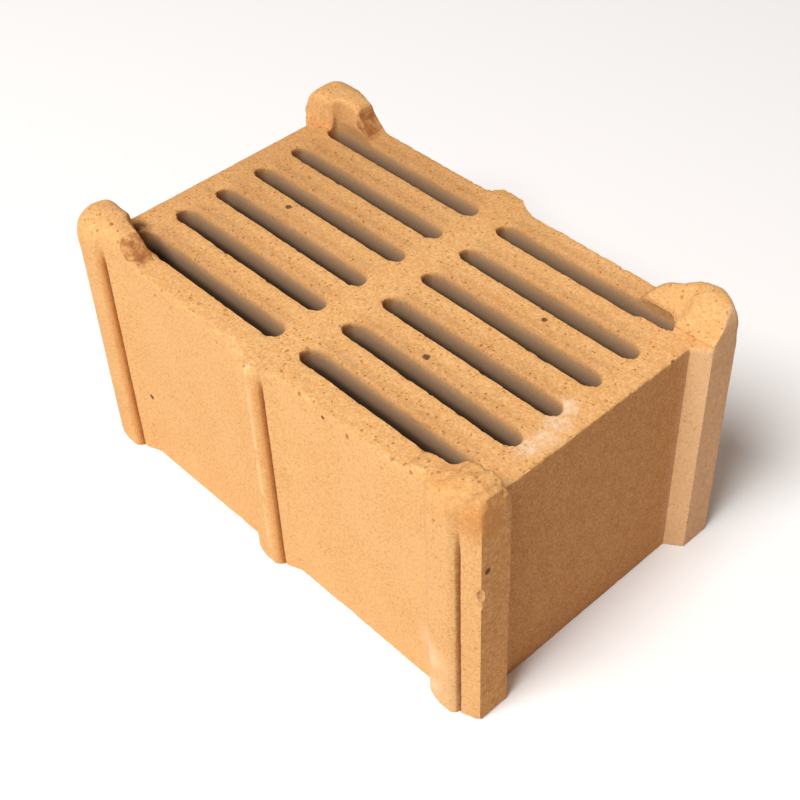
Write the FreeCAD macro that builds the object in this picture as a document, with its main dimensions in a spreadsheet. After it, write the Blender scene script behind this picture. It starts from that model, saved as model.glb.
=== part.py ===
import FreeCAD, Part
import math
import os
import Sketcher

# Regenerator checker brick, standing as in use with its lugs upwards.
# +X runs along the length, +Y across, +Z up; the origin is under the middle of the brick.

OUT = "parts"
NODE = "checker_brick"
SKETCH_ORIGIN = -1
START, END, MIDDLE = range(1, 4)
ARC = "arc"
ANGLE_ROUNDING = 1e-6

os.makedirs(OUT, exist_ok=True)
doc = FreeCAD.newDocument("checker_brick")

# Driving sizes in millimetres
SIZES = {
    "brick_length": 329.0,
    "deck": 158.0,
    "slot_width": 15.0,
    "slot_pitch": 30.0,
    "middle_web": 19.5,
    "rows": 6,
    "side_wall": 15.0,
    "end_wall": 16.75,
    "corner_rib_inset": 20.0,
    "middle_rib": -3.0,
    "rib_proud": 8.0,
    "rib_flank_run": 8.0,
    "crest_left": 11.0,
    "crest_right": 4.5,
    "shoulder_proud": 4.5,
    "shoulder_run": 4.0,
    "groove_half_width": 1.0,
    "groove_depth": 2.5,
    "groove_stop": 4.0,
    "end_recess": 10.0,
    "recess_flank_run": 7.0,
    "post_width": 21.0,
    "lug_rise": 20.0,
    "lug_length": 55.5,
    "lug_knee_rise": 12.0,
    "lug_knee_run": 10.0,
    "lug_slope_run": 27.0,
    "lug_rounding": 11.0,
}

# Sizes that follow from the driving ones
DERIVED = {
    "half_length": "=brick_length / 2",
    "slot_radius": "=slot_width / 2",
    "row_span": "=(rows - 1) * slot_pitch",
    "first_row": "=row_span / 2",
    "half_width": "=first_row + slot_radius + side_wall",
    "panel_face": "=half_length - end_recess",
    "post_inner": "=half_width - post_width",
    "panel_half_width": "=post_inner - recess_flank_run",
    "rib_offset": "=half_length - corner_rib_inset",
    "rib_crest": "=half_width + rib_proud",
    "rib_shoulder": "=half_width + shoulder_proud",
    "groove_shift": "=crest_right + shoulder_run",
    "groove_floor": "=rib_shoulder - groove_depth",
    "groove_top": "=deck - groove_stop",
    "lug_top": "=deck + lug_rise",
    "lug_base": "=half_length - lug_length",
    "slot_near": "=middle_web / 2 + slot_radius",
    "slot_far": "=panel_face - end_wall - slot_radius",
    "outside": "=half_length + half_width",
}


def make_sheet():
    table = doc.addObject("Spreadsheet::Sheet", "Sizes")
    row = 1
    for group in (SIZES, DERIVED):
        for name, value in group.items():
            table.set("A%d" % row, name)
            table.set("B%d" % row, str(value))
            table.setAlias("B%d" % row, name)
            row += 1
    doc.recompute()
    return table


sheet = make_sheet()
words = sorted(list(SIZES) + list(DERIVED), key=len, reverse=True)


def size(text):
    """The present value of a size, or of a sum of sizes."""
    return float(sheet.evalExpression(text))


def linked(text):
    """The same sum, written for another object of the document."""
    out = ""
    at = 0
    while at < len(text):
        word = next((w for w in words if text.startswith(w, at)), None)
        out += "Sizes." + word if word else text[at]
        at += len(word) if word else 1
    return out


body = doc.addObject("PartDesign::Body", NODE)
body.Label = NODE


def origin_feature(role):
    return next(f for f in body.Origin.OriginFeatures if f.Role == role)


def new_sketch(name, role):
    sketch = body.newObject("Sketcher::SketchObject", name)
    sketch.AttachmentSupport = (origin_feature(role), [""])
    sketch.MapMode = "FlatFace"
    return sketch


def arc_between(start, end, middle):
    """An arc between two points about a middle point, at most half a turn long."""
    first, last = (math.atan2(p[1] - middle[1], p[0] - middle[0]) for p in (start, end))
    forward = (last - first) % (2 * math.pi) < math.pi + ANGLE_ROUNDING
    low, high = (first, last) if forward else (last, first)
    axis = FreeCAD.Vector(0, 0, 1)
    circle = Part.Circle(FreeCAD.Vector(*middle, 0), axis, math.dist(start, middle))
    return Part.ArcOfCircle(circle, low, high), forward


def negated(text):
    return "-(%s)" % text


def mirrored(items):
    """The same outline on the other side of the upright axis, in reverse order."""
    return [(negated(item[0]),) + item[1:] for item in reversed(items)]


def hold(sketch, edge, point, kind, text):
    """Hold one coordinate of a point of an edge at a size."""
    index = sketch.addConstraint(Sketcher.Constraint(kind, SKETCH_ORIGIN, START, edge, point, size(text)))
    sketch.setExpression("Constraints[%d]" % index, linked(text))


def closed_outline(sketch, items):
    """Draw a closed outline.

    A corner is (x, y). An arc is (middle x, middle y, ARC), written between the
    two corners that it joins.
    """
    corners = [item for item in items if len(item) == 2]
    arcs = {}
    count = 0
    for item in items:
        if len(item) == 2:
            count += 1
        else:
            arcs[count - 1] = item
    spots = [(size(x), size(y)) for x, y in corners]
    edges = []
    for i, start in enumerate(spots):
        finish = spots[(i + 1) % len(spots)]
        if i in arcs:
            middle_x, middle_y = arcs[i][:2]
            curve, forward = arc_between(start, finish, (size(middle_x), size(middle_y)))
            edge = sketch.addGeometry(curve)
            edges.append((edge, START, END) if forward else (edge, END, START))
            flat = abs(finish[0] - start[0]) > abs(finish[1] - start[1])
            kind, text = ("DistanceY", middle_y) if flat else ("DistanceX", middle_x)
            hold(sketch, edge, MIDDLE, kind, text)
        else:
            vectors = (FreeCAD.Vector(*start, 0), FreeCAD.Vector(*finish, 0))
            edges.append((sketch.addGeometry(Part.LineSegment(*vectors)), START, END))
    for i, (x, y) in enumerate(corners):
        edge, first, last = edges[i]
        before = edges[i - 1]
        sketch.addConstraint(Sketcher.Constraint("Coincident", before[0], before[2], edge, first))
        hold(sketch, edge, first, "DistanceX", x)
        hold(sketch, edge, first, "DistanceY", y)


def rectangle(sketch, left, right, bottom, top):
    closed_outline(sketch, [(left, bottom), (right, bottom), (right, top), (left, top)])


def settle(feature):
    """Work the model out and stop if a feature fails."""
    body.Tip = feature
    doc.recompute()
    if not feature.isValid() or feature.Shape.isNull():
        raise RuntimeError("feature failed: " + feature.Name)
    return feature


def pad(name, sketch, length):
    feature = body.newObject("PartDesign::Pad", name)
    feature.Profile = sketch
    feature.setExpression("Length", linked(length))
    return settle(feature)


def cut_through(name, sketch):
    """Cut a sketch through the whole brick, both ways from its plane."""
    before = body.Shape.Volume
    feature = body.newObject("PartDesign::Pocket", name)
    feature.Profile = sketch
    feature.Type = "ThroughAll"
    feature.SideType = "Symmetric"
    settle(feature)
    if feature.Shape.Volume >= before - 1:
        raise RuntimeError("nothing was cut by " + name)
    return feature


def cut_up(name, sketch, height):
    """Cut a sketch on the underside upwards to a height."""
    before = body.Shape.Volume
    feature = body.newObject("PartDesign::Pocket", name)
    feature.Profile = sketch
    feature.Reversed = True
    feature.setExpression("Length", linked(height))
    settle(feature)
    if feature.Shape.Volume >= before - 1:
        raise RuntimeError("nothing was cut by " + name)
    return feature


def mirror_across(name, original, role):
    feature = body.newObject("PartDesign::Mirrored", name)
    feature.Originals = [original]
    feature.MirrorPlane = (origin_feature(role), [""])
    return settle(feature)


# Block as pressed, from the underside to the tops of the lugs
sketch = new_sketch("BlockPlan", "XY_Plane")
rectangle(sketch, "-half_length", "half_length", "-half_width", "half_width")
doc.recompute()
pad("Block", sketch, "lug_top")

# Ribs on the long sides, which keep neighbouring bricks apart: a flat crest with a
# sloping left flank, and on the right a step down to a long shoulder
RIB_PLACES = ("-rib_offset", "middle_rib", "rib_offset")
sketch = new_sketch("RibPlan", "XY_Plane")
for across in RIB_PLACES:
    left = "%s - crest_left - rib_flank_run" % across
    right = "%s + corner_rib_inset" % across
    crest = [("%s + crest_right" % across, "rib_crest"), ("%s - crest_left" % across, "rib_crest")]
    shoulder = [("%s + groove_shift" % across, "rib_shoulder")]
    root = [(left, "half_width"), (left, "post_inner"), (right, "post_inner"), (right, "half_width")]
    closed_outline(sketch, root + shoulder + crest)
doc.recompute()
ribs = pad("Ribs", sketch, "lug_top")
mirror_across("RibsOpposite", ribs, "XZ_Plane")

# Narrow groove at the foot of each step, from the underside to just below the deck
sketch = new_sketch("GroovePlan", "XY_Plane")
for across in RIB_PLACES:
    middle = "%s + groove_shift" % across
    mouth = "rib_shoulder + groove_depth"
    left = (middle + " - 2 * groove_half_width", mouth)
    right = (middle + " + 2 * groove_half_width", mouth)
    closed_outline(sketch, [(middle, "groove_floor"), right, left])
doc.recompute()
grooves = cut_up("Grooves", sketch, "groove_top")
mirror_across("GroovesOpposite", grooves, "XZ_Plane")

# Recessed panel between the corner posts on the short sides, with sloping flanks
sketch = new_sketch("EndRecessPlan", "XY_Plane")
panel = [("panel_face", "-panel_half_width"), ("half_length", "-post_inner"), ("outside", "-post_inner")]
panel += [("outside", "post_inner"), ("half_length", "post_inner"), ("panel_face", "panel_half_width")]
closed_outline(sketch, panel)
closed_outline(sketch, mirrored(panel))
doc.recompute()
cut_through("EndRecesses", sketch)

# Side outline: lugs above the deck at the corners, with rounded outer tops
side = [
    ("lug_base", "deck"),
    ("lug_base + lug_knee_run", "deck + lug_knee_rise"),
    ("lug_base + lug_slope_run", "lug_top"),
    ("half_length - lug_rounding", "lug_top"),
    ("half_length - lug_rounding", "lug_top - lug_rounding", ARC),
    ("half_length", "lug_top - lug_rounding"),
    ("half_length", "-deck"),
]
sketch = new_sketch("SideOutline", "XZ_Plane")
closed_outline(sketch, side + mirrored(side))
rectangle(sketch, "-outside", "outside", "-outside", "outside")
doc.recompute()
cut_through("SideTrim", sketch)

# Open deck between the two rows of lugs
sketch = new_sketch("EndOutline", "YZ_Plane")
rectangle(sketch, "-post_inner", "post_inner", "deck", "outside")
doc.recompute()
cut_through("EndTrim", sketch)

# Gas slots with full-radius ends, one in each column, repeated across the rows
sketch = new_sketch("SlotPlan", "XY_Plane")
for near, far in (("slot_near", "slot_far"), ("-slot_far", "-slot_near")):
    low = "-first_row - slot_radius"
    high = "-first_row + slot_radius"
    right_end = (far, "-first_row", ARC)
    left_end = (near, "-first_row", ARC)
    closed_outline(sketch, [(near, low), (far, low), right_end, (far, high), (near, high), left_end])
doc.recompute()
slots = cut_through("Slots", sketch)

rows = body.newObject("PartDesign::LinearPattern", "SlotRows")
rows.Originals = [slots]
rows.Direction = (origin_feature("Y_Axis"), [""])
rows.setExpression("Length", linked("row_span"))
rows.setExpression("Occurrences", linked("rows"))
settle(rows)

for item in doc.Objects:
    if "Invalid" in item.State or "Error" in item.State:
        raise RuntimeError("object in error: " + item.Name)
shape = body.Shape
if shape.isNull() or not shape.isValid() or len(shape.Solids) != 1:
    raise RuntimeError("the brick is not one sound solid")
shape.exportStep(os.path.join(OUT, NODE + ".step"))
box = shape.BoundBox
print(NODE, "solids", len(shape.Solids), "faces", len(shape.Faces), "volume", round(shape.Volume))
print("box", [round(v, 2) for v in (box.XMin, box.YMin, box.ZMin, box.XMax, box.YMax, box.ZMax)])
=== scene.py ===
import itertools
import math
from collections import namedtuple

import bpy
import numpy as np
from mathutils import Matrix, Vector, noise


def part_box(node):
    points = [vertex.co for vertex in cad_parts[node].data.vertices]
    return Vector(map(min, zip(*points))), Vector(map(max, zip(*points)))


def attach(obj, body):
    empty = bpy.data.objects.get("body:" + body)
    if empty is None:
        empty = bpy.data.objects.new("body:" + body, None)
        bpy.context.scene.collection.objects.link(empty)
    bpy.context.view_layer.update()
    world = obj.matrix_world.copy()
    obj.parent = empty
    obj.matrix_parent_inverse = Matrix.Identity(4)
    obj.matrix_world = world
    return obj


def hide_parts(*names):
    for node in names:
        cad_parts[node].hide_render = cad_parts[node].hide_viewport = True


bl_info = {
    "name": "Checker Brick Looks",
    "version": (1, 0, 0),
    "blender": (4, 5, 0),
    "location": "View3D > Sidebar > Brick",
    "description": "Worn fired clay over a regenerator checker brick",
    "category": "Object",
}

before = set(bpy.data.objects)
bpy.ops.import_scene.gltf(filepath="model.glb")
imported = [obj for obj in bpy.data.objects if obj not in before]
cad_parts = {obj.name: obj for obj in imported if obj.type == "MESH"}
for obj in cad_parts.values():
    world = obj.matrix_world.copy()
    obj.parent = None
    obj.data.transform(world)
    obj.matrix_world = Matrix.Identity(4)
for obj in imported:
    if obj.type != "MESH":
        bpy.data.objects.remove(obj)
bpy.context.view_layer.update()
NODE = "checker_brick"
BODY = "root"
LOW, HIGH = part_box(NODE)
MM = 0.001

# Sizes of the brick in metres, as the solid has them
LUG_RISE = 0.020
DECK = HIGH.z - LUG_RISE
SLOT_PITCH = 0.030
SLOT_ROWS = 6
SLOT_RADIUS = 0.0075
SLOT_NEAR = 0.01725
SLOT_FAR = 0.13025
SLOT_END = SLOT_FAR + SLOT_RADIUS
SLOT_WALL = 0.0825
FACE = 0.0975
POST_INNER = 0.0765
LUG_START = 0.109

# The same forms as profiles, in mm: height of a lug by place along X, how far a rib stands out by place
# from its middle, and how far the ends stand out by place along Y
LUG_PROFILE = ((109.0, 0.0), (119.0, 12.0), (136.0, 20.0), (153.5, 20.0), (158.0, 19.0), (162.5, 15.0), (164.5, 9.0))
RIB_PROFILE = ((-20.0, 0.0), (-19.0, 0.0), (-11.0, 8.0), (4.5, 8.0), (8.5, 4.5), (20.0, 0.0))
RIB_PROUD = 8.0
END_PROFILE = ((69.5, 154.5), (76.5, 164.5))
CORNER_RIBS = (-144.5, 144.5)
RIBS = (-144.5, -3.0, 144.5)

# Lumps of clay that have broken away: middle, radii and turn about Z, in millimetres and degrees
CHIPS = [
    ((171.5, -104.0, 181.0), (13.0, 15.0, 20.0), 15.0),
    ((168.5, -101.5, 104.5), (7.0, 7.5, 12.0), 0.0),
    ((166.5, -99.5, -1.5), (5.0, 4.0, 4.0), 0.0),
    ((-120.0, 108.0, 184.0), (20.0, 9.0, 9.0), 0.0),
    ((-166.0, -109.0, 184.0), (9.0, 9.0, 13.0), 0.0),
    ((-106.0, -80.0, 168.5), (8.0, 14.0, 8.0), -25.0),
    ((168.0, 108.0, 182.0), (14.0, 11.0, 10.0), 0.0),
    ((-141.0, -16.0, 160.0), (5.0, 3.5, 4.0), 0.0),
    ((-24.0, -105.5, 157.0), (15.0, 9.5, 9.0), 4.0),
    ((8.0, -106.0, 160.0), (13.0, 6.0, 5.0), 0.0),
    ((-76.0, -100.5, 160.5), (34.0, 5.0, 5.0), 2.0),
    ((62.0, -100.5, 161.5), (34.0, 4.5, 4.5), -2.0),
]
# Roughness of those lumps: share of the radius, lumps in a radius, step of the noise for each chip, its place
CHIP_NOISE = ((0.24, 1.6, 7.3, (1.0, 2.0)), (0.12, 4.7, 3.1, (4.0, 5.0)))

# Wear of a lug: its sides along X and Y, shares of the height left by place along X, roundings of the top
# towards the deck, outwards over the rib and outwards beside it, in mm, and slope of the side towards the
# deck where that has been rubbed down to a ramp (0 where it hasn't)
Lug = namedtuple("Lug", "side_x side_y shares inner outer beside slope")
BACK_SHARES = ((109.0, 1.1), (118.0, 1.2), (120.0, 1.45), (127.0, 1.24), (136.0, 1.02), (147.0, 1.0),
               (155.0, 0.96), (159.0, 0.92), (162.0, 0.80), (164.5, 0.50))
RIGHT_SHARES = ((109.0, 0.95), (120.0, 0.90), (134.0, 0.86), (147.0, 0.97), (164.5, 0.97))
NEAR_SHARES = ((109.0, 1.0), (119.0, 0.76), (131.0, 0.56), (141.0, 0.80), (151.0, 0.99), (164.5, 0.98))
LUGS = [
    Lug(-1, -1, ((109.0, 0.98), (164.5, 0.97)), 8.5, 12.5, 8.0, 0.0),
    Lug(-1, 1, BACK_SHARES, 4.5, 12.5, 3.0, 0.0),
    Lug(1, 1, RIGHT_SHARES, 8.0, 6.5, 4.0, 1.15),
    Lug(1, -1, NEAR_SHARES, 4.5, 6.0, 6.0, 0.0),
]

# Grooves: middle along X in metres, how far below the deck they start, over what length they deepen and how
# far above their start the painted shade and dirt reach, in mm, and strength of the painted shade band and of the
# painted highlight on the crest beside it
Groove = namedtuple("Groove", "middle start length above band crest")
GROOVES = (
    Groove(-0.1360, 4.0, 5.0, 10.0, 0.80, 0.0),
    Groove(0.0055, 4.0, 16.0, 1.0, 0.66, 0.45),
    Groove(0.1530, 5.0, 26.0, 0.0, 0.0, 0.0),
)
# How far from its middle a groove reaches, and the shares of its depth that is left and of its width that closes
GROOVE_REACH = 2.6 * MM
GROOVE_LEFT = 0.85
GROOVE_CLOSING = 0.35

# Rounding of the deck's left and right ends in mm, and middle of a rib's left flank from the rib's, in mm
DECK_ENDS = ((-1, 4.0), (1, 1.6))
RIB_FLANK = 13.5
FLANK_REACH = 6.0 * MM
# How far the clay sagged into the slots' mouths, and how far it was left in the last one, from where, in metres
SLOT_LIP = 0.0022
CLAY_LEFT = 0.0026
CLAY_LEFT_FROM = (0.1165, 0.060)
# Where a slot's wall counts as a wall, as its edge, and as too deep to wear
WALL_SKIN = 0.6 * MM
EDGE_SKIN = 2.5 * MM
DEEP = 14.0 * MM
# How far an arris stands out from its neighbours' mean
ARRIS_HEIGHT = 0.12 * MM
# Where the left end starts, whose arrises are crisper, and how far the lugs' tops stay below the solid's
LEFT_END = -0.150
TOP_GAP = 0.1 * MM

# Kinds of roughness: width of the lumps in mm, and seed
LUMPS = {
    "slot mouth": (13.0, 21),
    "lug edge": (15.0, 22),
    "ramp": (7.0, 23),
    "bites": (14.0, 1),
    "crumbs": (4.2, 2),
    "nibbles": (2.2, 3),
    "swell": (16.0, 4),
    "grain": (3.4, 5),
    "pits": (5.0, 6),
    "facet": (3.6, 8),
    "lug": (4.5, 9),
    "near lug": (6.5, 10),
    "near lug crumbs": (2.8, 11),
}
# What turns a seed and a cell of the noise into a fixed value
SEED_STEP = np.array((17.3, 5.1, 9.7))
HASH_PRIMES = (73856093, 19349663, 83492791)
HASH_MIX = 1274126177

# Brown rough facets where the left lugs' inner ends have broken: middle in metres and radius in millimetres
FACETS = [((-0.1160, -0.0890, 0.1665), 10.0), ((-0.1140, 0.0900, 0.1660), 8.5)]
# Dark iron spots: place in metres and radius in millimetres
IRON_SPOTS = [
    ((-0.0936, 0.0027, 0.158), 1.9),
    ((0.0604, -0.0324, 0.158), 2.1),
    ((0.0841, 0.0330, 0.158), 1.7),
    ((0.1543, 0.0561, 0.158), 1.6),
    ((0.1559, 0.0824, 0.178), 1.5),
    ((-0.1200, 0.0952, 0.178), 1.6),
    ((-0.1212, -0.0975, 0.051), 1.9),
    ((0.0508, -0.0975, 0.152), 1.3),
    ((0.1645, -0.0930, 0.123), 2.0),
]
# Middles of the pale scuff on the deck, with its radius and soft edge, in metres
SCUFFS = [(0.1401, -0.0080, 0.1603), (0.1445, -0.0190, 0.1603), (0.1475, -0.0300, 0.1603), (0.1455, -0.0410, 0.1603)]
SCUFF_RADIUS = 0.006
SCUFF_EDGE = 0.004
# Middles and soft edges of the painted highlight on the foot of the near rib, and its radius, in metres
FOOT_HIGHLIGHTS = [((0.1370, -0.1020, 0.0400), 0.012), ((0.1420, -0.1020, 0.0140), 0.011)]
FOOT_HIGHLIGHT_RADIUS = 0.013
# Stains, and a painted shadow beside the near left lug: place in metres, radius in millimetres, strength and colour
STAINS_AND_SHADOW = [
    ((0.1630, -0.0960, 0.1600), 14.0, 0.65, (0.56, 0.220, 0.050, 1.0)),
    ((0.1400, -0.0940, 0.1660), 13.0, 0.45, (0.68, 0.285, 0.065, 1.0)),
    # Painted shadow of the near left lug on the deck, at the first slot's left end
    ((-0.1410, -0.0720, 0.1580), 6.5, 0.95, (0.17, 0.070, 0.030, 1.0)),
    ((-0.1090, 0.0870, 0.1580), 9.0, 0.30, (0.62, 0.270, 0.080, 1.0)),
    ((0.1450, -0.0560, 0.1580), 9.0, 0.30, (0.62, 0.300, 0.130, 1.0)),
]
# Grains: cells in a metre, range of the random value that picks a cell, grain's inner and outer size as shares
# of a cell, strength and colour
GRAINS = (
    (400.0, (0.86, 0.89), (0.30, 0.55), 0.70, (0.42, 0.155, 0.035, 1.0)),
    (640.0, (0.80, 0.83), (0.30, 0.55), 0.75, (0.36, 0.120, 0.026, 1.0)),
    (520.0, (0.12, 0.09), (0.22, 0.55), 0.35, (0.90, 0.620, 0.330, 1.0)),
)
# Shades of the slots' walls: depth below the deck where they are full and where they start, and strength
GREY_SLOT_SHADE = (0.0090, 0.0004, 0.88)
BLACK_SHADE = (0.0185, 0.0065, 0.94)

# Colours that are laid over the clay, and tints that it is multiplied by
MOTTLE_DARK = (0.58, 0.258, 0.068, 1.0)
MOTTLE_PALE = (0.88, 0.540, 0.235, 1.0)
FLECK = (0.74, 0.330, 0.075, 1.0)
PIT = (0.30, 0.105, 0.028, 1.0)
# Painted highlight on the inner flank of the right end's far post
FAR_FLANK_HIGHLIGHT = (0.80, 0.575, 0.400, 1.0)
# Colour of the painted deep shade inside the slots
SLOT_BLACK_SHADE = (0.042, 0.021, 0.010, 1.0)
SCUFF_PALE = (0.87, 0.69, 0.52, 1.0)
# Painted highlight on the near rib's foot
FOOT_HIGHLIGHT_PALE = (0.86, 0.64, 0.41, 1.0)
# Painted highlight along the middle rib's crest edge
CREST_HIGHLIGHT = (0.90, 0.62, 0.34, 1.0)
FACET_BROWN = (0.38, 0.140, 0.040, 1.0)
# Painted shade band on the step beside the grooves
BAND_SHADE = (0.58, 0.235, 0.060, 1.0)
# Painted shade and dirt in the grooves
GROOVE_SHADE_AND_DIRT = (0.28, 0.095, 0.024, 1.0)
# Painted shade of the short sides
END_SHADE_TINT = (0.80, 0.70, 0.63, 1.0)
BLOTCH_TINT = (0.82, 0.77, 0.70, 1.0)
# Painted shade in the end recess between the posts
RECESS_SHADE_TINT = (0.87, 0.83, 0.82, 1.0)
DECK_TINT = (0.80, 0.76, 0.74, 1.0)
# Painted shade of the deck just beyond each slot's far edge
STRIP_SHADE_TINT = (0.78, 0.745, 0.74, 1.0)

# How far the three warped places are pushed about at most, in metres; on average it is half of that
CROOKED = 0.0012
BENT = 0.0045
RAGGED = 0.014


class WornBrickSizes(bpy.types.PropertyGroup):
    """Sizes and colours of the brick's surface that a user would change."""

    depth: bpy.props.IntProperty(
        name="Remesh depth", description="Halvings of the working mesh before it is thinned", default=8, min=5, max=9)
    rounding: bpy.props.FloatProperty(
        name="Slot rounding", description="Rounding of the slot edge that the extruded clay sagged over",
        default=0.0036, min=0.001, max=0.01, unit="LENGTH", precision=5)
    crumble: bpy.props.FloatProperty(
        name="Crumble depth", description="How deep the arrises have crumbled",
        default=0.0010, min=0.0, max=0.005, unit="LENGTH", precision=5)
    triangles: bpy.props.IntProperty(
        name="Triangles", description="Most triangles that the finished brick keeps", default=190000, min=20000)
    smooth_angle: bpy.props.FloatProperty(
        name="Smooth angle", description="Edges sharper than this stay sharp", subtype="ANGLE",
        default=math.radians(42.0), min=0.0, max=math.pi)
    clay: bpy.props.FloatVectorProperty(
        name="Clay", description="Main colour of the fired clay", subtype="COLOR", size=4,
        default=(0.70, 0.385, 0.150, 1.0), min=0.0, max=1.0)
    clay_pale: bpy.props.FloatVectorProperty(
        name="Pale clay", description="Colour of the paler clay between the grains", subtype="COLOR", size=4,
        default=(0.76, 0.450, 0.195, 1.0), min=0.0, max=1.0)
    grog: bpy.props.FloatVectorProperty(
        name="Grog grains", description="Colour of the darker grains", subtype="COLOR", size=4,
        default=(0.47, 0.200, 0.055, 1.0), min=0.0, max=1.0)
    iron: bpy.props.FloatVectorProperty(
        name="Iron spots", description="Colour of the iron spots", subtype="COLOR", size=4,
        default=(0.10, 0.035, 0.012, 1.0), min=0.0, max=1.0)
    # Colour of the painted shade on the slot walls just below the deck
    slot_shade: bpy.props.FloatVectorProperty(
        name="Slot walls", description="Colour of the walls inside the slots", subtype="COLOR", size=4,
        default=(0.34, 0.215, 0.132, 1.0), min=0.0, max=1.0)


class StageSizes(bpy.types.PropertyGroup):
    """Sizes and colours of the floor, the lights and the camera."""

    floor_size: bpy.props.FloatProperty(
        name="Floor", description="Side of the square floor", default=9.0, min=1.0, unit="LENGTH")
    floor_colour: bpy.props.FloatVectorProperty(
        name="Floor colour", description="Colour of the pale floor", subtype="COLOR", size=4,
        default=(0.92, 0.92, 0.92, 1.0), min=0.0, max=1.0)
    sky: bpy.props.FloatProperty(name="Fill", description="Strength of the even fill light", default=0.26, min=0.0)
    sky_colour: bpy.props.FloatVectorProperty(
        name="Fill colour", description="Colour of the even fill light", subtype="COLOR", size=4,
        default=(1.0, 0.85, 0.75, 1.0), min=0.0, max=1.0)
    key: bpy.props.FloatProperty(
        name="Key light", description="Power of the large light in front", default=196.0, min=0.0)
    key_width: bpy.props.FloatProperty(
        name="Key width", description="Width of the large round light", default=2.1, min=0.1, unit="LENGTH")
    key_place: bpy.props.FloatVectorProperty(
        name="Key place", description="Where the large light hangs", subtype="XYZ", unit="LENGTH",
        default=(0.17, -2.20, 3.49))
    key_aim: bpy.props.FloatVectorProperty(
        name="Key aim", description="What the large light points at", subtype="XYZ", unit="LENGTH",
        default=(0.0, 0.0, 0.09))
    camera_place: bpy.props.FloatVectorProperty(
        name="Camera place", description="Where the camera stands", subtype="XYZ", unit="LENGTH",
        default=(0.47492, -0.42110, 0.67283), precision=5)
    camera_turn: bpy.props.FloatVectorProperty(
        name="Camera turn", description="Camera rotation about X, Y and Z", subtype="EULER",
        default=(0.805216, 0.032528, 0.812608), precision=5)
    focal: bpy.props.FloatProperty(
        name="Focal length", description="Focal length in mm on the sensor", default=65.527, min=10.0)
    sensor: bpy.props.FloatProperty(
        name="Sensor", description="Width of the camera's sensor in mm", default=36.0, min=1.0)


def deselect_all():
    if bpy.context.object and bpy.context.object.mode != "OBJECT":
        bpy.ops.object.mode_set(mode="OBJECT")
    bpy.ops.object.select_all(action="DESELECT")


def pick(piece):
    """Make one object the only selected and the active one."""
    deselect_all()
    piece.select_set(True)
    bpy.context.view_layer.objects.active = piece


def apply_modifier(piece, kind, name, **settings):
    """Add a modifier, set it up and apply it."""
    pick(piece)
    modifier = piece.modifiers.new(name, kind)
    for key, value in settings.items():
        setattr(modifier, key, value)
    bpy.ops.object.modifier_apply(modifier=modifier.name)


def copy_of_solid(name):
    """A copy of the brick's solid with its faces joined up."""
    pick(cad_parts[NODE])
    bpy.ops.object.duplicate()
    piece = bpy.context.object
    piece.name = name
    piece.data.name = name
    piece.parent = None
    for key in list(piece.keys()):
        del piece[key]
    bpy.ops.object.mode_set(mode="EDIT")
    bpy.ops.mesh.select_all(action="SELECT")
    bpy.ops.mesh.remove_doubles(threshold=0.00001)
    bpy.ops.object.mode_set(mode="OBJECT")
    return piece


def chip_cutter(index, place, radii, turn):
    """A rough lump that is cut out of the brick."""
    deselect_all()
    bpy.ops.mesh.primitive_ico_sphere_add(subdivisions=4, radius=1.0, location=(0.0, 0.0, 0.0))
    lump = bpy.context.object
    lump.name = "chip_%d" % index
    spin = Matrix.Rotation(math.radians(turn), 3, "Z")
    for vertex in lump.data.vertices:
        size = 1.0
        for share, lumps, step, start in CHIP_NOISE:
            size += share * noise.noise(vertex.co * lumps + Vector((index * step, *start)))
        spot = spin @ Vector([c * r for c, r in zip(vertex.co, radii)])
        vertex.co = (Vector(place) + spot * size) * MM
    return lump


def break_chips(piece):
    """Cut the chips out of the brick."""
    for index, (place, radii, turn) in enumerate(CHIPS):
        lump = chip_cutter(index, place, radii, turn)
        apply_modifier(piece, "BOOLEAN", "chip", object=lump, operation="DIFFERENCE", solver="EXACT")
        bpy.data.objects.remove(lump)


def read_mesh(mesh):
    """The points, their normals and the edges of a mesh."""
    spots = np.empty(len(mesh.vertices) * 3, np.float32)
    mesh.vertices.foreach_get("co", spots)
    normals = np.empty(len(mesh.vertices) * 3, np.float32)
    mesh.vertices.foreach_get("normal", normals)
    edges = np.empty(len(mesh.edges) * 2, np.int32)
    mesh.edges.foreach_get("vertices", edges)
    return spots.reshape(-1, 3).astype(float), normals.reshape(-1, 3).astype(float), edges.reshape(-1, 2)


def write_spots(mesh, spots):
    mesh.vertices.foreach_set("co", spots.astype(np.float32).ravel())
    mesh.update()


def neighbour_mean(values, edges):
    """Each point's mean with its neighbours."""
    count = len(values)
    total = values.copy()
    number = np.ones(count)
    for a, b in ((0, 1), (1, 0)):
        number += np.bincount(edges[:, a], minlength=count)
        if values.ndim == 1:
            total += np.bincount(edges[:, a], weights=values[edges[:, b]], minlength=count)
        else:
            for axis in range(3):
                total[:, axis] += np.bincount(edges[:, a], weights=values[edges[:, b], axis], minlength=count)
    return total / (number if values.ndim == 1 else number[:, None])


def soften(spots, edges, amount, rounds):
    """Smooth the points towards their neighbours, each by its own amount."""
    for _ in range(rounds):
        spots += (neighbour_mean(spots, edges) - spots) * amount[:, None]


def soften_part(spots, edges, chosen, amount, rounds):
    """Smooth some of the points, working on them only."""
    mine = np.nonzero(chosen)[0]
    place = np.full(len(spots), -1)
    place[mine] = np.arange(len(mine))
    own = place[edges]
    own = own[(own >= 0).all(axis=1)]
    part = spots[mine]
    soften(part, own, amount[mine], rounds)
    spots[mine] = part


def climb(values, start, length):
    """0 up to the start, then rising evenly to 1 over the length."""
    return np.clip((values - start) / length, 0.0, 1.0)


def profile(pairs, values):
    """A profile's height at each place, both in metres from pairs in millimetres."""
    places, heights = zip(*pairs)
    return np.interp(values / MM, places, heights) * MM


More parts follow.
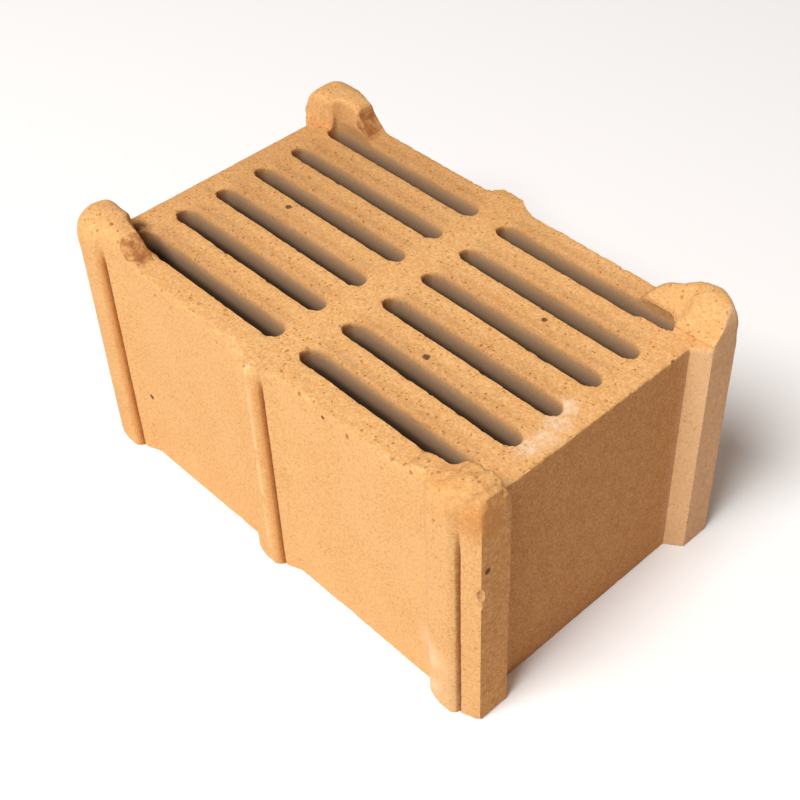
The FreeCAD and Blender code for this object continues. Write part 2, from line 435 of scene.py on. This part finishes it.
def ribs_at(x, ribs):
    """How far the long side lies from the middle at each place along X, with the named ribs on it."""
    return FACE + sum(profile(RIB_PROFILE, x - rib * MM) for rib in ribs)


def arris_weight(spots, normals, edges):
    """How near each point is to an outward arris: 1 on it, 0 on the flats."""
    stand_out = np.einsum("ij,ij->i", spots - neighbour_mean(spots, edges), normals)
    weight = np.clip(stand_out / ARRIS_HEIGHT, 0.0, 1.0)
    for _ in range(2):
        weight = neighbour_mean(weight, edges)
    return np.clip(weight * 2.2, 0.0, 1.0)


def rough(spots, kind):
    """Smooth noise from -1 to 1 at each point, with one kind of lumps."""
    width, seed = LUMPS[kind]
    place = spots / (width * MM) + SEED_STEP * seed
    cell = np.floor(place).astype(np.int64)
    share = place - cell
    share = share * share * (3.0 - 2.0 * share)
    total = np.zeros(len(spots))
    for corner in itertools.product((0, 1), repeat=3):
        at = cell + np.array(corner)
        code = (at[:, 0] * HASH_PRIMES[0]) ^ (at[:, 1] * HASH_PRIMES[1]) ^ (at[:, 2] * HASH_PRIMES[2])
        code = ((code ^ (code >> 13)) * HASH_MIX) & 0xFFFFFFFF
        value = ((code ^ (code >> 16)) & 0xFFFF) / 32767.5 - 1.0
        total += value * np.where(np.array(corner), share, 1.0 - share).prod(axis=1)
    return total


def near_slots(spots):
    """Distance of each point from the wall of the nearest slot, and the way there in plan."""
    x = spots[:, 0]
    line = np.clip(np.abs(x), SLOT_NEAR, SLOT_FAR) * np.where(x < 0.0, -1.0, 1.0)
    row = np.clip(np.round(spots[:, 1] / SLOT_PITCH - 0.5), -SLOT_ROWS / 2, SLOT_ROWS / 2 - 1)
    way = np.stack((x - line, spots[:, 1] - (row + 0.5) * SLOT_PITCH), axis=1)
    far = np.maximum(np.linalg.norm(way, axis=1), 1e-9)
    return far - SLOT_RADIUS, way / far[:, None]


def over_round(across, down, radius):
    """Share of the way to a round edge's middle that each point moves to lie on the edge: 0 inside it."""
    reach = np.maximum(np.hypot(across, down), 1e-9)
    outside = (across > 0.0) & (down > 0.0) & (reach > radius)
    return np.where(outside, 1.0 - radius / reach, 0.0)


def narrow_slots(spots):
    """Draw the slots' near edges in a little, where the clay sagged into the mouth."""
    apart, way = near_slots(spots)
    below = DECK - spots[:, 2]
    share = np.clip(-way[:, 1], 0.0, 1.0) * (1.0 - climb(apart, 0.0, 5.0 * MM))
    share *= (1.0 - climb(below, 5.0 * MM, 22.0 * MM)) * (below > -0.5 * MM)
    spots[:, 1] += SLOT_LIP * share
    start_x, start_y = CLAY_LEFT_FROM
    last = climb(spots[:, 0], start_x, 3.0 * MM) * (spots[:, 1] > start_y) * (spots[:, 1] < POST_INNER)
    spots[:, 1] += CLAY_LEFT * share * last


def round_slots(spots, rounding):
    """Round the slots' upper edges: widely at the far side, hardly at the near side."""
    apart, way = near_slots(spots)
    below = DECK - spots[:, 2]
    radius = rounding * np.clip(0.10 + 0.42 * (1.0 + way[:, 1]) + 0.10 * np.abs(way[:, 0]), 0.1, 1.0)
    radius = radius * (1.0 + 0.30 * rough(spots * (1.0, 1.0, 0.0), "slot mouth"))
    across = radius - apart
    down = radius - below
    under_lug = (np.abs(spots[:, 0]) > LUG_START - MM) & (np.abs(spots[:, 1]) > POST_INNER - MM)
    share = over_round(across, down, radius) * (apart > -0.3 * MM) * (below > -0.3 * MM) * ~under_lug
    slide = across * share
    spots[:, 0] += way[:, 0] * slide
    spots[:, 1] += way[:, 1] * slide
    spots[:, 2] -= down * share


def round_deck_ends(spots):
    """Round the deck over at both ends between the posts."""
    for side, rounding in DECK_ENDS:
        radius = rounding * MM
        across = radius - (profile(END_PROFILE, np.abs(spots[:, 1])) - spots[:, 0] * side)
        down = radius - (DECK - spots[:, 2])
        share = over_round(across, down, radius)
        share *= (spots[:, 2] < DECK + 0.3 * MM) & (np.abs(spots[:, 1]) < POST_INNER)
        spots[:, 0] -= side * across * share
        spots[:, 2] -= down * share


def round_lugs(spots):
    """Wear the lugs down and round their tops over towards both sides."""
    x, y = spots[:, 0].copy(), spots[:, 1].copy()
    face = ribs_at(x, CORNER_RIBS)
    for lug in LUGS:
        mine = (spots[:, 2] > DECK + 0.2 * MM) & (x * lug.side_x > 0.0) & (y * lug.side_y > 0.0)
        left = profile(lug.shares, np.abs(x[mine])) / MM
        top = profile(LUG_PROFILE, np.abs(x[mine])) * left
        rise = (spots[mine, 2] - DECK) * left
        uneven = 1.0 + 0.22 * rough(spots[mine] * (1.0, 0.0, 0.0), "lug edge")
        place = y[mine] * lug.side_y
        cut = np.abs(x[mine]) < SLOT_END + MM
        wall_in = np.where(cut & (lug.slope > 0.0), SLOT_WALL, POST_INNER)
        if lug.slope > 0.0:
            ramp = 2.0 * MM + np.maximum(place - wall_in, 0.0) * lug.slope + 0.8 * MM * rough(spots[mine], "ramp")
            rise = np.minimum(rise, np.maximum(ramp, 0.5 * MM))
        outer = lug.beside + (lug.outer - lug.beside) * climb(face[mine], FACE, RIB_PROUD * MM)
        for wall, inwards, rounding in ((wall_in, 1.0, lug.inner), (face[mine], -1.0, outer)):
            radius = rounding * MM * uneven * np.clip(top / (0.8 * LUG_RISE), 0.1, 1.0)
            across = radius - (place - wall) * inwards
            down = radius - (top - rise)
            share = over_round(across, down, radius)
            place = place + across * share * inwards
            rise = rise - down * share
        spots[mine, 1] = place * lug.side_y
        spots[mine, 2] = DECK + rise


def mend_grooves(spots):
    """Let the grooves of the ribs run out softly below the deck and close up a little."""
    out = ribs_at(spots[:, 0], RIBS)
    for groove in GROOVES:
        away = spots[:, 0] - groove.middle
        mine = (np.abs(away) < GROOVE_REACH) & (np.abs(spots[:, 1]) > FACE + 0.4 * MM) & (spots[:, 2] < DECK)
        side = np.sign(spots[mine, 1])
        depth = np.maximum(out[mine] - np.abs(spots[mine, 1]), 0.0)
        fade = climb(DECK - groove.start * MM - spots[mine, 2], 0.0, groove.length * MM)
        spots[mine, 1] += side * depth * (1.0 - GROOVE_LEFT * fade)
        closing = np.clip(1.0 - np.abs(away[mine]) / GROOVE_REACH, 0.0, 1.0)
        spots[mine, 0] -= away[mine] * GROOVE_CLOSING * closing


class Zones:
    """Where each point lay on the unworn brick, which says how it wears."""

    def __init__(self, spots, normals, edges):
        height = spots[:, 2].copy()
        self.apart, self.way = near_slots(spots)
        self.deep = (self.apart < WALL_SKIN) & (height < DECK - DEEP)
        self.arris = arris_weight(spots, normals, edges)
        self.lug = climb(height, DECK + 5.0 * MM, 6.0 * MM)
        high = climb(height, DECK - 7.0 * MM, 5.0 * MM)
        low = 1.0 - climb(height, 0.0, 5.0 * MM)
        self.wear = np.clip(0.16 + 0.84 * high + 0.35 * low, 0.0, 1.0)


def wear_forms(spots, edges, zones, rounding):
    """Wear the slots' mouths, the deck's ends, the lugs, the grooves and the ribs' left flanks."""
    narrow_slots(spots)
    round_slots(spots, rounding)
    round_deck_ends(spots)
    round_lugs(spots)
    mend_grooves(spots)
    soften_part(spots, edges, spots[:, 2] > DECK + 0.5 * MM, 0.75 * zones.lug, 9)
    beyond = np.abs(spots[:, 1]) - FACE
    middles = [(rib - RIB_FLANK) * MM for rib in RIBS]
    flank = sum(np.clip(1.5 - np.abs(spots[:, 0] - middle) / FLANK_REACH, 0.0, 1.0) for middle in middles)
    flank *= climb(beyond, 0.0, 2.0 * MM) * climb(DECK - spots[:, 2], 0.0, 6.0 * MM)
    soften_part(spots, edges, beyond > -2.0 * MM, 0.8 * flank, 13)
    soften(spots, edges, np.where(zones.deep, 0.0, 0.15 + 0.45 * zones.arris * zones.wear), 2)


def crumble_arrises(spots, normals, zones, depth):
    """Crumble the arrises unevenly: less along the slots, least at their far edges, and less at the left end."""
    crisp = np.where(zones.apart < EDGE_SKIN, np.clip(0.22 - 0.20 * zones.way[:, 1], 0.06, 0.40), 1.0)
    crisp *= np.where(spots[:, 0] < LEFT_END, 0.35, 1.0)
    active = np.nonzero((zones.arris > 0.04) & ~zones.deep)[0]
    chosen = spots[active]
    bite = 0.30 + 0.22 * rough(chosen, "bites")
    bite += 3.0 * np.clip(rough(chosen, "crumbs") - 0.50, 0.0, None)
    bite += 0.35 * rough(chosen, "nibbles")
    share = zones.arris[active] * zones.wear[active] * crisp[active] * (1.0 - 0.55 * zones.lug[active])
    spots[active] -= normals[active] * (depth * share * np.clip(bite, 0.0, 2.4))[:, None]


def roughen_faces(spots, normals, zones):
    """Roughen the faces by a relief in mm: most on the deck, the broken facets and the lugs, none deep in slots."""
    outer = np.nonzero(~zones.deep)[0]
    chosen = spots[outer]
    up = np.clip(normals[outer, 2], 0.0, 1.0)
    lug = zones.lug[outer]
    relief = 0.10 * rough(chosen, "swell") + (0.035 + 0.13 * up) * rough(chosen, "grain") - 0.22
    relief -= 0.55 * up * np.clip(rough(chosen, "pits") - 0.42, 0.0, None)
    for place, radius in FACETS:
        near = np.clip(1.3 - np.linalg.norm(chosen - np.array(place), axis=1) / (radius * MM), 0.0, 1.0)
        relief += near * (0.9 * rough(chosen, "facet") - 0.9)
    relief += 0.30 * lug * rough(chosen, "lug") - 0.22 * lug
    near_lug = lug * (chosen[:, 0] > 0.0) * (chosen[:, 1] < 0.0)
    relief += near_lug * (0.90 * rough(chosen, "near lug") + 0.70 * rough(chosen, "near lug crumbs") - 0.80)
    spots[outer] += normals[outer] * (relief * MM)[:, None]
    spots[:, 2] = np.clip(spots[:, 2], LOW.z, HIGH.z - TOP_GAP)


def wear(piece, depth, rounding):
    """Wear the brick's forms, crumble its arrises and roughen its faces."""
    mesh = piece.data
    spots, normals, edges = read_mesh(mesh)
    zones = Zones(spots, normals, edges)
    wear_forms(spots, edges, zones, rounding)
    write_spots(mesh, spots)
    spots, normals, edges = read_mesh(mesh)
    crumble_arrises(spots, normals, zones, depth)
    roughen_faces(spots, normals, zones)
    write_spots(mesh, spots)


class BRICK_OT_body(bpy.types.Operator):
    """Make the worn brick over its solid"""

    bl_idname = "brick.body"
    bl_label = "Worn brick"

    def execute(self, context):
        sizes = context.scene.worn_brick
        piece = copy_of_solid("worn_checker_brick")
        break_chips(piece)
        apply_modifier(piece, "REMESH", "even", mode="SHARP", octree_depth=sizes.depth, scale=0.9,
                       sharpness=1.0, use_remove_disconnected=False)
        wear(piece, sizes.crumble, sizes.rounding)
        triangles = len(piece.data.polygons) * 2
        apply_modifier(piece, "DECIMATE", "thin", ratio=min(1.0, sizes.triangles / triangles))
        pick(piece)
        bpy.ops.object.shade_smooth_by_angle(angle=sizes.smooth_angle)
        piece.data.materials.clear()
        piece.data.materials.append(fired_clay(sizes))
        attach(piece, BODY)
        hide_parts(NODE)
        return {"FINISHED"}


class Nodes:
    """Short words for building a material's node tree."""

    def __init__(self, name):
        self.material = bpy.data.materials.new(name)
        self.material.use_nodes = True
        self.tree = self.material.node_tree
        self.shader = self.tree.nodes["Principled BSDF"]
        self.place = self.add("ShaderNodeTexCoord").outputs["Object"]

    def add(self, kind, **settings):
        item = self.tree.nodes.new(kind)
        row, column = divmod(len(self.tree.nodes), 12)
        item.location = (-220 * column - 300, -180 * row)
        for key, value in settings.items():
            setattr(item, key, value)
        return item

    def feed(self, socket, value):
        """Link a socket, or set it to a value."""
        if isinstance(value, bpy.types.NodeSocket):
            self.tree.links.new(value, socket)
        else:
            socket.default_value = value

    def math(self, operation, first, second=0.0):
        item = self.add("ShaderNodeMath", operation=operation)
        self.feed(item.inputs[0], first)
        self.feed(item.inputs[1], second)
        return item.outputs[0]

    def absolute(self, value):
        return self.math("ABSOLUTE", value)

    def times(self, first, *others):
        """The product of all the values."""
        for other in others:
            first = self.math("MULTIPLY", first, other)
        return first

    def most(self, first, *others):
        """The largest of the values."""
        for other in others:
            first = self.math("MAXIMUM", first, other)
        return first

    def parts(self, vector):
        """A vector's X, Y and Z."""
        item = self.add("ShaderNodeSeparateXYZ")
        self.feed(item.inputs[0], vector)
        return item.outputs

    def noise(self, scale, detail=2.0, roughness=0.5, place=None, output="Fac"):
        item = self.add("ShaderNodeTexNoise")
        self.feed(item.inputs["Vector"], place or self.place)
        item.inputs["Scale"].default_value = scale
        item.inputs["Detail"].default_value = detail
        item.inputs["Roughness"].default_value = roughness
        return item.outputs[output]

    def warped(self, scale, most):
        """The place pushed about by noise, by up to the most along each axis."""
        item = self.add("ShaderNodeVectorMath", operation="MULTIPLY_ADD")
        self.feed(item.inputs[0], self.noise(scale, output="Color"))
        item.inputs[1].default_value = (most, most, most)
        self.feed(item.inputs[2], self.place)
        return item.outputs[0]

    def cells(self, scale, output="Color", place=None):
        """Small rounded cells: a random value for each, or the distance from its middle."""
        item = self.add("ShaderNodeTexVoronoi")
        self.feed(item.inputs["Vector"], place or self.place)
        item.inputs["Scale"].default_value = scale
        return item.outputs[output]

    def grains(self, scale, picked, sizes, place):
        """The middles of those cells whose random value lies past the picked range."""
        chosen = self.step(self.cells(scale, "Color", place), *picked)
        return self.times(chosen, self.step(self.cells(scale, "Distance", place), *sizes, 1.0, 0.0))

    def step(self, value, low, high, low_out=0.0, high_out=1.0):
        """A smooth ramp between two values."""
        item = self.add("ShaderNodeMapRange", interpolation_type="SMOOTHSTEP")
        self.feed(item.inputs["Value"], value)
        item.inputs["From Min"].default_value = low
        item.inputs["From Max"].default_value = high
        item.inputs["To Min"].default_value = low_out
        item.inputs["To Max"].default_value = high_out
        return item.outputs["Result"]

    def blot(self, place, radius, edge, warped):
        """1 within a radius of a place, falling to 0 over the edge, with the outline of a warped place."""
        away = self.add("ShaderNodeVectorMath", operation="DISTANCE")
        self.feed(away.inputs[0], warped)
        away.inputs[1].default_value = place
        return self.step(away.outputs["Value"], radius - edge, radius + edge, 1.0, 0.0)

    def mix(self, amount, first, second, blend="MIX"):
        item = self.add("ShaderNodeMix", data_type="RGBA", blend_type=blend)
        self.feed(item.inputs["Factor"], amount)
        self.feed(item.inputs["A"], first)
        self.feed(item.inputs["B"], second)
        return item.outputs["Result"]


class FiredClay(Nodes):
    """Fired clay: one colour that each layer is laid into in turn."""

    def __init__(self, sizes):
        super().__init__("fired_clay_worn")
        self.sizes = sizes
        self.x, self.y, self.z = self.parts(self.place)
        self.facing = self.parts(self.add("ShaderNodeNewGeometry").outputs["Normal"])
        self.up = self.step(self.facing[2], 0.15, 0.95)
        self.on_end = self.step(self.absolute(self.facing[0]), 0.75, 0.95)
        self.crooked = self.warped(420.0, CROOKED)
        self.bent = self.warped(90.0, BENT)
        self.ragged = self.warped(130.0, RAGGED)

    def lay(self, amount, colour, blend="MIX"):
        self.colour = self.mix(amount, self.colour, colour, blend)

    def body(self):
        """Broad faint clouds, a dense mottling that is stronger on the deck, and a fine grain."""
        clouds = self.step(self.noise(28.0, 4.0, 0.62), 0.36, 0.64, 0.15, 0.85)
        self.colour = self.mix(clouds, tuple(self.sizes.clay), tuple(self.sizes.clay_pale))
        mottled = self.step(self.noise(640.0, 3.0, 0.72, self.crooked), 0.34, 0.66)
        strength = self.math("ADD", self.step(self.up, 0.0, 1.0, 0.40, 0.55), self.times(self.on_end, 0.30))
        self.lay(strength, self.mix(mottled, MOTTLE_DARK, MOTTLE_PALE))
        self.lay(self.step(self.noise(1100.0, 3.0, 0.7), 0.46, 0.66, 0.0, 0.30), tuple(self.sizes.grog))

    def front_arris(self):
        """Dark pits along the worn front arris."""
        front = self.step(self.y, -0.0900, -0.0840, 1.0, 0.0)
        pits = self.grains(270.0, (0.84, 0.86), (0.22, 0.42), self.crooked)
        self.lay(self.times(front, self.step(self.z, DECK - 0.014, DECK - 0.006), pits, 0.75), PIT)

    def short_sides(self):
        """Painted shade makes the short sides browner, and browner still in the recess; the short sides are also
        blotched; a painted highlight makes the right end's far flank paler.
        """
        # Painted shade: the short sides are darkened as if turned away from the light
        self.lay(self.on_end, END_SHADE_TINT, "MULTIPLY")
        blotches = self.step(self.noise(150.0, 4.0, 0.7, self.crooked), 0.42, 0.66)
        self.lay(self.times(blotches, self.on_end, 0.60), BLOTCH_TINT, "MULTIPLY")
        # Painted shade in the recess between the posts
        recessed = self.step(self.absolute(self.x), 0.1580, 0.1620, 1.0, 0.0)
        self.lay(self.times(self.on_end, recessed), RECESS_SHADE_TINT, "MULTIPLY")
        # Painted highlight on the far post's inner flank, which faces the light
        far = self.times(self.step(self.y, 0.0600, 0.0740), self.step(self.x, 0.1500, 0.1560))
        self.lay(self.times(far, self.step(self.facing[0], 0.35, 0.55, 0.0, 0.30)), FAR_FLANK_HIGHLIGHT)

    def deck(self):
        """The deck is browner towards its left and back, and has orange flecks; the sides have fewer."""
        back = self.math("ADD", self.times(self.x, -0.75), self.times(self.y, 0.66))
        below_lugs = self.step(self.z, DECK + 0.004, DECK + 0.014, 1.0, 0.35)
        self.lay(self.times(self.step(back, -0.01, 0.15), self.up, below_lugs), DECK_TINT, "MULTIPLY")
        flecks = self.step(self.noise(330.0, 3.0, 0.65, self.crooked), 0.50, 0.66)
        self.lay(self.times(flecks, self.step(self.up, 0.0, 1.0, 0.16, 0.52)), FLECK)

    def grog(self):
        """Dark and pale grains, more of them on the rough deck."""
        up_or_side = self.step(self.up, 0.0, 1.0, 0.50, 1.0)
        for scale, picked, sizes, strength, colour in GRAINS:
            self.lay(self.times(self.grains(scale, picked, sizes, self.crooked), up_or_side, strength), colour)

    def slot_walls(self):
        """Painted shade on the slot walls: grey-brown just below the deck, nearly black further down, and fading out
        again towards the underside.
        """
        along = self.step(self.absolute(self.x), SLOT_END, SLOT_END + 0.001, 1.0, 0.0)
        across = self.step(self.absolute(self.y), SLOT_WALL + 0.0005, SLOT_WALL + 0.0015, 1.0, 0.0)
        inside = self.times(along, across, self.step(self.z, 0.002, 0.016))
        # Painted shade: grey-brown just below the deck, then black deeper down
        for (full, start, strength), colour in ((GREY_SLOT_SHADE, tuple(self.sizes.slot_shade)), (BLACK_SHADE, SLOT_BLACK_SHADE)):
            self.lay(self.times(inside, self.step(self.z, DECK - full, DECK - start, strength, 0.0)), colour)

    def shaded_strips(self):
        """The deck dips beyond each slot's far edge, and painted shade darkens it there."""
        strip = self.math("FLOORED_MODULO", self.math("SUBTRACT", self.y, 0.5 * SLOT_PITCH), SLOT_PITCH)
        away = self.absolute(self.x)
        beyond_edge = self.times(self.step(strip, 0.0085, 0.0190, 1.0, 0.0), self.step(strip, 0.0030, 0.0070))
        between = self.times(self.step(away, SLOT_FAR - 0.004, SLOT_FAR + 0.012, 1.0, 0.0),
                             self.step(self.y, -0.0800, -0.0760), self.step(away, 0.0060, 0.0190))
        on_deck = self.times(self.step(self.z, DECK - 0.006, DECK - 0.001),
                             self.step(self.z, DECK + 0.002, DECK + 0.004, 1.0, 0.0))
        # Painted shade where the deck rounds down into each slot
        self.lay(self.times(beyond_edge, between, on_deck), STRIP_SHADE_TINT, "MULTIPLY")

    def stains_and_shadow(self):
        """Orange and brown stains in clouds, and the dark painted shadow beside the near left lug."""
        clouds = self.step(self.noise(110.0, 4.0, 0.65), 0.35, 0.62, 0.25, 1.0)
        for place, radius, strength, colour in STAINS_AND_SHADOW:
            blot = self.blot(place, radius * MM, 0.6 * radius * MM, self.crooked)
            self.lay(self.times(blot, clouds, strength), colour)

    def scuff_and_foot_highlight(self):
        """The pale scuff on the deck, and a painted highlight on the foot of the near rib."""
        scuff = self.most(*[self.blot(place, SCUFF_RADIUS, SCUFF_EDGE, self.bent) for place in SCUFFS])
        clouds = self.step(self.noise(300.0, 4.0, 0.7), 0.34, 0.66, 0.15, 0.68)
        self.lay(self.times(scuff, clouds, self.up), SCUFF_PALE)
        # Painted highlight where the near rib's foot turns towards the light
        foot_highlight = self.most(*[self.blot(place, FOOT_HIGHLIGHT_RADIUS, edge, self.bent) for place, edge in FOOT_HIGHLIGHTS])
        self.lay(self.times(foot_highlight, self.step(self.noise(45.0, 3.0, 0.6), 0.30, 0.70, 0.20, 0.65)), FOOT_HIGHLIGHT_PALE)

    def facets(self):
        """Brown rough facets where the left lugs have broken."""
        clouds = self.step(self.noise(260.0, 3.0, 0.6), 0.32, 0.60, 0.30, 0.90)
        for place, radius in FACETS:
            place = [c + RAGGED / 2 for c in place]
            self.lay(self.times(self.blot(place, radius * MM, 0.10 * radius * MM, self.ragged), clouds), FACET_BROWN)

    def grooves(self):
        """Painted shade and dirt along the grooves of the ribs, with a band of painted shade and a painted highlight
        on the crest beside some of them.
        """
        beyond = self.step(self.absolute(self.y), FACE + 0.0008, FACE + 0.0016)
        crooked_x = self.parts(self.crooked)[0]
        for groove in GROOVES:
            away = self.math("SUBTRACT", crooked_x, groove.middle + CROOKED / 2)
            full = DECK - (groove.start + groove.length) * MM
            start = DECK - (groove.start - groove.above) * MM
            if groove.band > 0.0:
                # Painted shade on the step face that falls into the groove
                band = self.times(self.step(away, -0.0050, -0.0006), self.step(away, 0.0002, 0.0016, 1.0, 0.0))
                self.lay(self.times(band, beyond, self.step(self.z, full, start, groove.band, 0.0)), BAND_SHADE)
            if groove.crest > 0.0:
                # Painted highlight along the rib's crest edge
                crest = self.math("SUBTRACT", crooked_x, groove.middle - 0.0072)
                crest = self.times(self.step(crest, -0.0022, -0.0002), self.step(crest, 0.0002, 0.0020, 1.0, 0.0))
                clouds = self.step(self.noise(60.0, 3.0, 0.6), 0.40, 0.60, 0.0, groove.crest)
                self.lay(self.times(crest, beyond, clouds), CREST_HIGHLIGHT)
            # Painted shade and dirt along the groove's line
            line = self.times(self.step(self.absolute(away), 0.0003, 0.0013, 1.0, 0.0), beyond)
            self.lay(self.times(line, self.step(self.z, full, start, 0.72, 0.0)), GROOVE_SHADE_AND_DIRT)

    def iron(self):
        """Iron spots, some in known places and others strewn about."""
        strewn = self.times(self.step(self.cells(120.0), 0.965, 0.970),
                            self.step(self.cells(120.0, "Distance", self.crooked), 0.07, 0.12, 1.0, 0.0))
        placed = [self.blot([c + CROOKED / 2 for c in place], radius * MM, 0.28 * radius * MM, self.crooked)
                  for place, radius in IRON_SPOTS]
        self.lay(self.times(self.most(strewn, *placed), 0.9), tuple(self.sizes.iron))

    def surface(self):
        """Feed the shader with the colour, a matt finish and the fine grain as bump."""
        self.feed(self.shader.inputs["Base Color"], self.colour)
        self.shader.inputs["Roughness"].default_value = 0.92
        self.shader.inputs["Specular IOR Level"].default_value = 0.25
        coarse = self.times(self.noise(380.0, 4.0, 0.7, self.crooked), 0.6)
        bump = self.add("ShaderNodeBump")
        bump.inputs["Strength"].default_value = 0.36
        bump.inputs["Distance"].default_value = 0.0009
        self.feed(bump.inputs["Height"], self.math("ADD", coarse, self.times(self.noise(1500.0, 2.0, 0.6), 0.25)))
        self.feed(self.shader.inputs["Normal"], bump.outputs["Normal"])


def fired_clay(sizes):
    """The clay's material, from the body of the clay to what lies over it."""
    clay = FiredClay(sizes)
    for layer in (clay.body, clay.front_arris, clay.short_sides, clay.deck, clay.grog, clay.slot_walls,
                  clay.shaded_strips, clay.stains_and_shadow, clay.scuff_and_foot_highlight, clay.facets, clay.grooves, clay.iron, clay.surface):
        layer()
    return clay.material


class BRICK_OT_stage(bpy.types.Operator):
    """Lay the pale floor, hang the soft lights and set up the camera"""

    bl_idname = "brick.stage"
    bl_label = "Floor, lights and camera"

    def execute(self, context):
        sizes = context.scene.brick_stage
        deselect_all()
        bpy.ops.mesh.primitive_plane_add(size=sizes.floor_size, location=(0.0, 0.0, 0.0))
        floor = context.object
        floor.name = "pale_floor"
        material = bpy.data.materials.new("pale_floor")
        material.use_nodes = True
        shader = material.node_tree.nodes["Principled BSDF"]
        shader.inputs["Base Color"].default_value = tuple(sizes.floor_colour)
        shader.inputs["Roughness"].default_value = 0.9
        floor.data.materials.append(material)

        world = bpy.data.worlds.new("even_fill")
        world.use_nodes = True
        backdrop = world.node_tree.nodes["Background"]
        backdrop.inputs["Color"].default_value = tuple(sizes.sky_colour)
        backdrop.inputs["Strength"].default_value = sizes.sky
        context.scene.world = world

        place = Vector(sizes.key_place)
        bpy.ops.object.light_add(type="AREA", location=place)
        key = context.object
        key.name = "key_light"
        key.data.shape = "DISK"
        key.data.size = sizes.key_width
        key.data.energy = sizes.key
        key.rotation_euler = (Vector(sizes.key_aim) - place).to_track_quat("-Z", "Y").to_euler()

        bpy.ops.object.camera_add(location=sizes.camera_place, rotation=sizes.camera_turn)
        camera = context.object
        camera.name = "camera"
        camera.data.sensor_width = sizes.sensor
        camera.data.lens = sizes.focal
        camera.data.clip_start = 0.01
        context.scene.camera = camera
        context.scene.view_settings.view_transform = "Standard"
        return {"FINISHED"}


class BRICK_PT_panel(bpy.types.Panel):
    """The brick's sizes and pieces"""

    bl_idname = "BRICK_PT_panel"
    bl_label = "Checker brick"
    bl_space_type = "VIEW_3D"
    bl_region_type = "UI"
    bl_category = "Brick"

    def draw(self, context):
        layout = self.layout
        for group in (context.scene.worn_brick, context.scene.brick_stage):
            box = layout.box()
            for name in group.__annotations__:
                box.prop(group, name)
        for piece in (BRICK_OT_body, BRICK_OT_stage):
            layout.operator(piece.bl_idname)


CLASSES = (WornBrickSizes, StageSizes, BRICK_OT_body, BRICK_OT_stage, BRICK_PT_panel)


def register():
    for item in CLASSES:
        bpy.utils.register_class(item)
    bpy.types.Scene.worn_brick = bpy.props.PointerProperty(type=WornBrickSizes)
    bpy.types.Scene.brick_stage = bpy.props.PointerProperty(type=StageSizes)


def unregister():
    del bpy.types.Scene.brick_stage
    del bpy.types.Scene.worn_brick
    for item in reversed(CLASSES):
        bpy.utils.unregister_class(item)


def main():
    register()
    bpy.ops.brick.stage()
    bpy.ops.brick.body()


if __name__ == "__main__":
    main()
